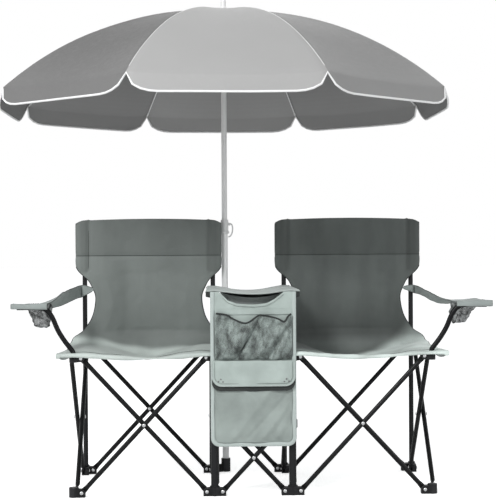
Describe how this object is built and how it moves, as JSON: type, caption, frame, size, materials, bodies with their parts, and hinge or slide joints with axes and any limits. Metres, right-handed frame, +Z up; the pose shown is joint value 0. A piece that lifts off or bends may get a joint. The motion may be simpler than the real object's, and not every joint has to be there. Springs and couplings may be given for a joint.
{
  "type": "folding camping loveseat",
  "caption": "Folding double camp chair on a scissor frame, with cloth seats, armrests with drink holders, a centre table over a bag and pockets, and a removable sun umbrella.",
  "frame": {"origin": "on the floor, under the middle of the overall box", "axes": "X to the sitter's left along the two seats, as seen from the front it runs to the right; Y from the front to the back, so the sitters face -Y; Z up"},
  "size_m": [1.5854, 1.4916, 1.6503],
  "materials": {
    "frame_steel": "black powder coat, slightly glossy",
    "black_moulding": "black moulded plastic",
    "seat_cloth": "woven polyester, grey with a slight green tint",
    "light_cloth": "woven polyester, lighter grey",
    "canopy_cloth": "thin coated polyester, pale grey",
    "pole_metal": "pale enamelled tube",
    "pale_plastic": "off-white moulded plastic"
  },
  "bodies": {
    "root": {"post_rear_left_centre": "frame_steel", "sling_left": "seat_cloth"},
    "cross_side_left_centre_a": {"cross_side_left_centre_a": "frame_steel"},
    "cross_side_left_centre_b": {"cross_side_left_centre_b": "frame_steel"},
    "post_front_left_centre": {"post_front_left_centre": "frame_steel", "table_top": "light_cloth", "storage_bag": "seat_cloth", "organizer": "light_cloth"},
    "seat_slider_rear_left_centre": {"seat_slider_rear_left_centre": "black_moulding"},
    "seat_slider_front_left_centre": {"seat_slider_front_left_centre": "black_moulding"},
    "cross_rear_left_a": {"cross_rear_left_a": "frame_steel"},
    "cross_rear_left_b": {"cross_rear_left_b": "frame_steel"},
    "post_rear_left_outer": {"post_rear_left_outer": "frame_steel"},
    "seat_slider_rear_left_outer": {"seat_slider_rear_left_outer": "black_moulding"},
    "cross_front_left_a": {"cross_front_left_a": "frame_steel"},
    "cross_front_left_b": {"cross_front_left_b": "frame_steel"},
    "foot_front_left_outer": {"foot_front_left_outer": "frame_steel"},
    "arm_post_front_left_outer": {"arm_post_front_left_outer": "frame_steel", "armrest_left": "light_cloth"},
    "cross_side_left_outer_a": {"cross_side_left_outer_a": "frame_steel"},
    "cross_side_left_outer_b": {"cross_side_left_outer_b": "frame_steel"},
    "cross_front_centre_a": {"cross_front_centre_a": "frame_steel"},
    "cross_front_centre_b": {"cross_front_centre_b": "frame_steel"},
    "post_front_right_centre": {"post_front_right_centre": "frame_steel"},
    "low_slider_front_left_centre": {"low_slider_front_left_centre": "black_moulding"},
    "low_slider_front_right_centre": {"low_slider_front_right_centre": "black_moulding"},
    "cross_side_right_centre_a": {"cross_side_right_centre_a": "frame_steel"},
    "cross_side_right_centre_b": {"cross_side_right_centre_b": "frame_steel"},
    "post_rear_right_centre": {"post_rear_right_centre": "frame_steel", "sling_right": "seat_cloth"},
    "seat_slider_front_right_centre": {"seat_slider_front_right_centre": "black_moulding"},
    "seat_slider_rear_right_centre": {"seat_slider_rear_right_centre": "black_moulding"},
    "brace_rear_centre": {"brace_rear_centre": "frame_steel"},
    "low_slider_rear_left_centre": {"low_slider_rear_left_centre": "black_moulding"},
    "cross_front_right_a": {"cross_front_right_a": "frame_steel"},
    "cross_front_right_b": {"cross_front_right_b": "frame_steel"},
    "foot_front_right_outer": {"foot_front_right_outer": "frame_steel"},
    "arm_post_front_right_outer": {"arm_post_front_right_outer": "frame_steel", "armrest_right": "light_cloth"},
    "cross_rear_right_a": {"cross_rear_right_a": "frame_steel"},
    "cross_rear_right_b": {"cross_rear_right_b": "frame_steel"},
    "post_rear_right_outer": {"post_rear_right_outer": "frame_steel"},
    "seat_slider_rear_right_outer": {"seat_slider_rear_right_outer": "black_moulding"},
    "cross_side_right_outer_a": {"cross_side_right_outer_a": "frame_steel"},
    "cross_side_right_outer_b": {"cross_side_right_outer_b": "frame_steel"},
    "pocket_flap": {"pocket_flap": "light_cloth"},
    "pole_lower": {"pole_lower": "pole_metal", "pole_collar": "pale_plastic"},
    "pole_upper": {"pole_upper": "pole_metal", "canopy": "canopy_cloth"},
    "lock_pin": {"lock_pin": "pale_plastic"},
    "runner": {"runner": "pale_plastic"},
    "rib_1": {"rib_1": "pole_metal"},
    "rib_2": {"rib_2": "pole_metal"},
    "rib_3": {"rib_3": "pole_metal"},
    "rib_4": {"rib_4": "pole_metal"},
    "rib_5": {"rib_5": "pole_metal"},
    "rib_6": {"rib_6": "pole_metal"},
    "rib_7": {"rib_7": "pole_metal"},
    "rib_8": {"rib_8": "pole_metal"}
  },
  "joints": [
    {"name": "frame_fold", "type": "hinge", "parent": "root", "child": "cross_side_left_centre_a", "pos_m": [-0.08884, -0.048, 0.014], "axis": [-1, 0, 0], "range_deg": [0, 32.9], "deforming": ["sling_left", "sling_right", "armrest_left", "armrest_right", "table_top", "storage_bag", "organizer"]},
    {"name": "side_left_centre_crossing", "type": "hinge", "parent": "cross_side_left_centre_a", "child": "cross_side_left_centre_b", "pos_m": [-0.08884, -0.2445, 0.22523], "axis": [-1, 0, 0], "range_deg": [-66.2, 0.4]},
    {"name": "post_front_left_centre_level", "type": "hinge", "parent": "cross_side_left_centre_b", "child": "post_front_left_centre", "pos_m": [-0.08884, -0.441, 0.014], "axis": [-1, 0, 0], "range_deg": [-0.4, 33.3]},
    {"name": "seat_slider_rear_left_centre_level", "type": "hinge", "parent": "cross_side_left_centre_b", "child": "seat_slider_rear_left_centre", "pos_m": [-0.08884, -0.048, 0.43647], "axis": [-1, 0, 0], "range_deg": [-0.4, 33.3]},
    {"name": "seat_slider_front_left_centre_level", "type": "hinge", "parent": "cross_side_left_centre_a", "child": "seat_slider_front_left_centre", "pos_m": [-0.08884, -0.441, 0.43647], "axis": [-1, 0, 0], "range_deg": [-33.3, 0.4]},
    {"name": "rear_left_swing", "type": "hinge", "parent": "root", "child": "cross_rear_left_a", "pos_m": [-0.11384, -0.023, 0.014], "axis": [0, 1, 0], "range_deg": [-0.4, 33.3]},
    {"name": "rear_left_crossing", "type": "hinge", "parent": "cross_rear_left_a", "child": "cross_rear_left_b", "pos_m": [-0.31034, -0.023, 0.22523], "axis": [0, 1, 0], "range_deg": [-66.2, 0.4]},
    {"name": "post_rear_left_outer_level", "type": "hinge", "parent": "cross_rear_left_b", "child": "post_rear_left_outer", "pos_m": [-0.50684, -0.023, 0.014], "axis": [0, 1, 0], "range_deg": [-0.4, 33.3]},
    {"name": "seat_slider_rear_left_outer_level", "type": "hinge", "parent": "cross_rear_left_a", "child": "seat_slider_rear_left_outer", "pos_m": [-0.50684, -0.023, 0.43647], "axis": [0, 1, 0], "range_deg": [-33.3, 0.4]},
    {"name": "front_left_swing", "type": "hinge", "parent": "post_front_left_centre", "child": "cross_front_left_a", "pos_m": [-0.11384, -0.466, 0.014], "axis": [0, 1, 0], "range_deg": [-0.4, 33.3]},
    {"name": "front_left_crossing", "type": "hinge", "parent": "cross_front_left_a", "child": "cross_front_left_b", "pos_m": [-0.31034, -0.466, 0.22523], "axis": [0, 1, 0], "range_deg": [-66.2, 0.4]},
    {"name": "foot_front_left_outer_level", "type": "hinge", "parent": "cross_front_left_b", "child": "foot_front_left_outer", "pos_m": [-0.50684, -0.466, 0.014], "axis": [0, 1, 0], "range_deg": [-0.4, 33.3]},
    {"name": "arm_post_front_left_outer_level", "type": "hinge", "parent": "cross_front_left_a", "child": "arm_post_front_left_outer", "pos_m": [-0.50684, -0.466, 0.43647], "axis": [0, 1, 0], "range_deg": [-33.3, 0.4]},
    {"name": "side_left_outer_swing", "type": "hinge", "parent": "post_rear_left_outer", "child": "cross_side_left_outer_a", "pos_m": [-0.53184, -0.048, 0.014], "axis": [-1, 0, 0], "range_deg": [-0.4, 33.3]},
    {"name": "side_left_outer_crossing", "type": "hinge", "parent": "cross_side_left_outer_a", "child": "cross_side_left_outer_b", "pos_m": [-0.53184, -0.2445, 0.22523], "axis": [-1, 0, 0], "range_deg": [-66.2, 0.4]},
    {"name": "front_centre_swing", "type": "hinge", "parent": "post_front_left_centre", "child": "cross_front_centre_a", "pos_m": [-0.06384, -0.466, 0.014], "axis": [0, -1, 0], "range_deg": [-0.4, 33.3]},
    {"name": "front_centre_crossing", "type": "hinge", "parent": "cross_front_centre_a", "child": "cross_front_centre_b", "pos_m": [0.03441, -0.466, 0.11962], "axis": [0, -1, 0], "range_deg": [-66.2, 0.4]},
    {"name": "post_front_right_centre_level", "type": "hinge", "parent": "cross_front_centre_b", "child": "post_front_right_centre", "pos_m": [0.13266, -0.466, 0.014], "axis": [0, -1, 0], "range_deg": [-0.4, 33.3]},
    {"name": "low_slider_front_left_centre_level", "type": "hinge", "parent": "cross_front_centre_b", "child": "low_slider_front_left_centre", "pos_m": [-0.06384, -0.466, 0.22523], "axis": [0, -1, 0], "range_deg": [-0.4, 33.3]},
    {"name": "low_slider_front_right_centre_level", "type": "hinge", "parent": "cross_front_centre_a", "child": "low_slider_front_right_centre", "pos_m": [0.13266, -0.466, 0.22523], "axis": [0, -1, 0], "range_deg": [-33.3, 0.4]},
    {"name": "side_right_centre_swing", "type": "hinge", "parent": "post_front_right_centre", "child": "cross_side_right_centre_a", "pos_m": [0.15766, -0.441, 0.014], "axis": [1, 0, 0], "range_deg": [-0.4, 33.3]},
    {"name": "side_right_centre_crossing", "type": "hinge", "parent": "cross_side_right_centre_a", "child": "cross_side_right_centre_b", "pos_m": [0.15766, -0.2445, 0.22523], "axis": [1, 0, 0], "range_deg": [-66.2, 0.4]},
    {"name": "post_rear_right_centre_level", "type": "hinge", "parent": "cross_side_right_centre_b", "child": "post_rear_right_centre", "pos_m": [0.15766, -0.048, 0.014], "axis": [1, 0, 0], "range_deg": [-0.4, 33.3]},
    {"name": "seat_slider_front_right_centre_level", "type": "hinge", "parent": "cross_side_right_centre_b", "child": "seat_slider_front_right_centre", "pos_m": [0.15766, -0.441, 0.43647], "axis": [1, 0, 0], "range_deg": [-0.4, 33.3]},
    {"name": "seat_slider_rear_right_centre_level", "type": "hinge", "parent": "cross_side_right_centre_a", "child": "seat_slider_rear_right_centre", "pos_m": [0.15766, -0.048, 0.43647], "axis": [1, 0, 0], "range_deg": [-33.3, 0.4]},
    {"name": "rear_centre_swing", "type": "hinge", "parent": "post_rear_right_centre", "child": "brace_rear_centre", "pos_m": [0.13266, -0.023, 0.014], "axis": [0, -1, 0], "range_deg": [-33.3, 0.4]},
    {"name": "low_slider_rear_left_centre_level", "type": "hinge", "parent": "brace_rear_centre", "child": "low_slider_rear_left_centre", "pos_m": [-0.06384, -0.023, 0.22523], "axis": [0, -1, 0], "range_deg": [-0.4, 33.3]},
    {"name": "front_right_swing", "type": "hinge", "parent": "post_front_right_centre", "child": "cross_front_right_a", "pos_m": [0.18266, -0.466, 0.014], "axis": [0, -1, 0], "range_deg": [-0.4, 33.3]},
    {"name": "front_right_crossing", "type": "hinge", "parent": "cross_front_right_a", "child": "cross_front_right_b", "pos_m": [0.37916, -0.466, 0.22523], "axis": [0, -1, 0], "range_deg": [-66.2, 0.4]},
    {"name": "foot_front_right_outer_level", "type": "hinge", "parent": "cross_front_right_b", "child": "foot_front_right_outer", "pos_m": [0.57566, -0.466, 0.014], "axis": [0, -1, 0], "range_deg": [-0.4, 33.3]},
    {"name": "arm_post_front_right_outer_level", "type": "hinge", "parent": "cross_front_right_a", "child": "arm_post_front_right_outer", "pos_m": [0.57566, -0.466, 0.43647], "axis": [0, -1, 0], "range_deg": [-33.3, 0.4]},
    {"name": "rear_right_swing", "type": "hinge", "parent": "post_rear_right_centre", "child": "cross_rear_right_a", "pos_m": [0.18266, -0.023, 0.014], "axis": [0, -1, 0], "range_deg": [-0.4, 33.3]},
    {"name": "rear_right_crossing", "type": "hinge", "parent": "cross_rear_right_a", "child": "cross_rear_right_b", "pos_m": [0.37916, -0.023, 0.22523], "axis": [0, -1, 0], "range_deg": [-66.2, 0.4]},
    {"name": "post_rear_right_outer_level", "type": "hinge", "parent": "cross_rear_right_b", "child": "post_rear_right_outer", "pos_m": [0.57566, -0.023, 0.014], "axis": [0, -1, 0], "range_deg": [-0.4, 33.3]},
    {"name": "seat_slider_rear_right_outer_level", "type": "hinge", "parent": "cross_rear_right_a", "child": "seat_slider_rear_right_outer", "pos_m": [0.57566, -0.023, 0.43647], "axis": [0, -1, 0], "range_deg": [-33.3, 0.4]},
    {"name": "side_right_outer_swing", "type": "hinge", "parent": "post_rear_right_outer", "child": "cross_side_right_outer_a", "pos_m": [0.60066, -0.048, 0.014], "axis": [-1, 0, 0], "range_deg": [-0.4, 33.3]},
    {"name": "side_right_outer_crossing", "type": "hinge", "parent": "cross_side_right_outer_a", "child": "cross_side_right_outer_b", "pos_m": [0.60066, -0.2445, 0.22523], "axis": [-1, 0, 0], "range_deg": [-66.2, 0.4]},
    {"name": "pocket_flap_hinge", "type": "hinge", "parent": "post_front_left_centre", "child": "pocket_flap", "pos_m": [0.03441, -0.5013, 0.4276], "axis": [-1, 0, 0], "range_deg": [0, 120]},
    {"name": "pole_liftout", "type": "slide", "parent": "root", "child": "pole_lower", "axis": [0, 0, 1], "range_m": [0, 0.46]},
    {"name": "pole_telescope", "type": "slide", "parent": "pole_lower", "child": "pole_upper", "axis": [0, 0, 1], "range_m": [-0.08, 0.15]},
    {"name": "lock_pin_pull", "type": "slide", "parent": "pole_lower", "child": "lock_pin", "axis": [1, 0, 0], "range_m": [0, 0.012]},
    {"name": "canopy_runner", "type": "slide", "parent": "pole_upper", "child": "runner", "axis": [0, 0, 1], "range_m": [-0.346, 0], "deforming": ["canopy"]},
    {"name": "rib_1_hinge", "type": "hinge", "parent": "pole_upper", "child": "rib_1", "pos_m": [-0.04072, -0.01478, 1.5905], "axis": [0.9239, 0.3827, 0], "range_deg": [-0.3, 60.4]},
    {"name": "rib_2_hinge", "type": "hinge", "parent": "pole_upper", "child": "rib_2", "pos_m": [-0.03206, -0.00612, 1.5905], "axis": [0.3827, 0.9239, 0], "range_deg": [-0.3, 60.4]},
    {"name": "rib_3_hinge", "type": "hinge", "parent": "pole_upper", "child": "rib_3", "pos_m": [-0.03206, 0.00612, 1.5905], "axis": [-0.3827, 0.9239, 0], "range_deg": [-0.3, 60.4]},
    {"name": "rib_4_hinge", "type": "hinge", "parent": "pole_upper", "child": "rib_4", "pos_m": [-0.04072, 0.01478, 1.5905], "axis": [-0.9239, 0.3827, 0], "range_deg": [-0.3, 60.4]},
    {"name": "rib_5_hinge", "type": "hinge", "parent": "pole_upper", "child": "rib_5", "pos_m": [-0.05297, 0.01478, 1.5905], "axis": [-0.9239, -0.3827, 0], "range_deg": [-0.3, 60.4]},
    {"name": "rib_6_hinge", "type": "hinge", "parent": "pole_upper", "child": "rib_6", "pos_m": [-0.06163, 0.00612, 1.5905], "axis": [-0.3827, -0.9239, 0], "range_deg": [-0.3, 60.4]},
    {"name": "rib_7_hinge", "type": "hinge", "parent": "pole_upper", "child": "rib_7", "pos_m": [-0.06163, -0.00612, 1.5905], "axis": [0.3827, -0.9239, 0], "range_deg": [-0.3, 60.4]},
    {"name": "rib_8_hinge", "type": "hinge", "parent": "pole_upper", "child": "rib_8", "pos_m": [-0.05297, -0.01478, 1.5905], "axis": [0.9239, -0.3827, 0], "range_deg": [-0.3, 60.4]}
  ],
  "couplings": [
    {"joint": "side_left_centre_crossing", "follows": "frame_fold", "ratio": -2},
    {"joint": "post_front_left_centre_level", "follows": "frame_fold", "ratio": 1},
    {"joint": "seat_slider_rear_left_centre_level", "follows": "frame_fold", "ratio": 1},
    {"joint": "seat_slider_front_left_centre_level", "follows": "frame_fold", "ratio": -1},
    {"joint": "rear_left_swing", "follows": "frame_fold", "ratio": 1},
    {"joint": "rear_left_crossing", "follows": "frame_fold", "ratio": -2},
    {"joint": "post_rear_left_outer_level", "follows": "frame_fold", "ratio": 1},
    {"joint": "seat_slider_rear_left_outer_level", "follows": "frame_fold", "ratio": -1},
    {"joint": "front_left_swing", "follows": "frame_fold", "ratio": 1},
    {"joint": "front_left_crossing", "follows": "frame_fold", "ratio": -2},
    {"joint": "foot_front_left_outer_level", "follows": "frame_fold", "ratio": 1},
    {"joint": "arm_post_front_left_outer_level", "follows": "frame_fold", "ratio": -1},
    {"joint": "side_left_outer_swing", "follows": "frame_fold", "ratio": 1},
    {"joint": "side_left_outer_crossing", "follows": "frame_fold", "ratio": -2},
    {"joint": "front_centre_swing", "follows": "frame_fold", "ratio": 1},
    {"joint": "front_centre_crossing", "follows": "frame_fold", "ratio": -2},
    {"joint": "post_front_right_centre_level", "follows": "frame_fold", "ratio": 1},
    {"joint": "low_slider_front_left_centre_level", "follows": "frame_fold", "ratio": 1},
    {"joint": "low_slider_front_right_centre_level", "follows": "frame_fold", "ratio": -1},
    {"joint": "side_right_centre_swing", "follows": "frame_fold", "ratio": 1},
    {"joint": "side_right_centre_crossing", "follows": "frame_fold", "ratio": -2},
    {"joint": "post_rear_right_centre_level", "follows": "frame_fold", "ratio": 1},
    {"joint": "seat_slider_front_right_centre_level", "follows": "frame_fold", "ratio": 1},
    {"joint": "seat_slider_rear_right_centre_level", "follows": "frame_fold", "ratio": -1},
    {"joint": "rear_centre_swing", "follows": "frame_fold", "ratio": -1},
    {"joint": "low_slider_rear_left_centre_level", "follows": "frame_fold", "ratio": 1},
    {"joint": "front_right_swing", "follows": "frame_fold", "ratio": 1},
    {"joint": "front_right_crossing", "follows": "frame_fold", "ratio": -2},
    {"joint": "foot_front_right_outer_level", "follows": "frame_fold", "ratio": 1},
    {"joint": "arm_post_front_right_outer_level", "follows": "frame_fold", "ratio": -1},
    {"joint": "rear_right_swing", "follows": "frame_fold", "ratio": 1},
    {"joint": "rear_right_crossing", "follows": "frame_fold", "ratio": -2},
    {"joint": "post_rear_right_outer_level", "follows": "frame_fold", "ratio": 1},
    {"joint": "seat_slider_rear_right_outer_level", "follows": "frame_fold", "ratio": -1},
    {"joint": "side_right_outer_swing", "follows": "frame_fold", "ratio": 1},
    {"joint": "side_right_outer_crossing", "follows": "frame_fold", "ratio": -2},
    {"joint": "rib_1_hinge", "follows": "canopy_runner", "rad_per_m": -3.0266},
    {"joint": "rib_2_hinge", "follows": "canopy_runner", "rad_per_m": -3.0266},
    {"joint": "rib_3_hinge", "follows": "canopy_runner", "rad_per_m": -3.0266},
    {"joint": "rib_4_hinge", "follows": "canopy_runner", "rad_per_m": -3.0266},
    {"joint": "rib_5_hinge", "follows": "canopy_runner", "rad_per_m": -3.0266},
    {"joint": "rib_6_hinge", "follows": "canopy_runner", "rad_per_m": -3.0266},
    {"joint": "rib_7_hinge", "follows": "canopy_runner", "rad_per_m": -3.0266},
    {"joint": "rib_8_hinge", "follows": "canopy_runner", "rad_per_m": -3.0266}
  ]
}
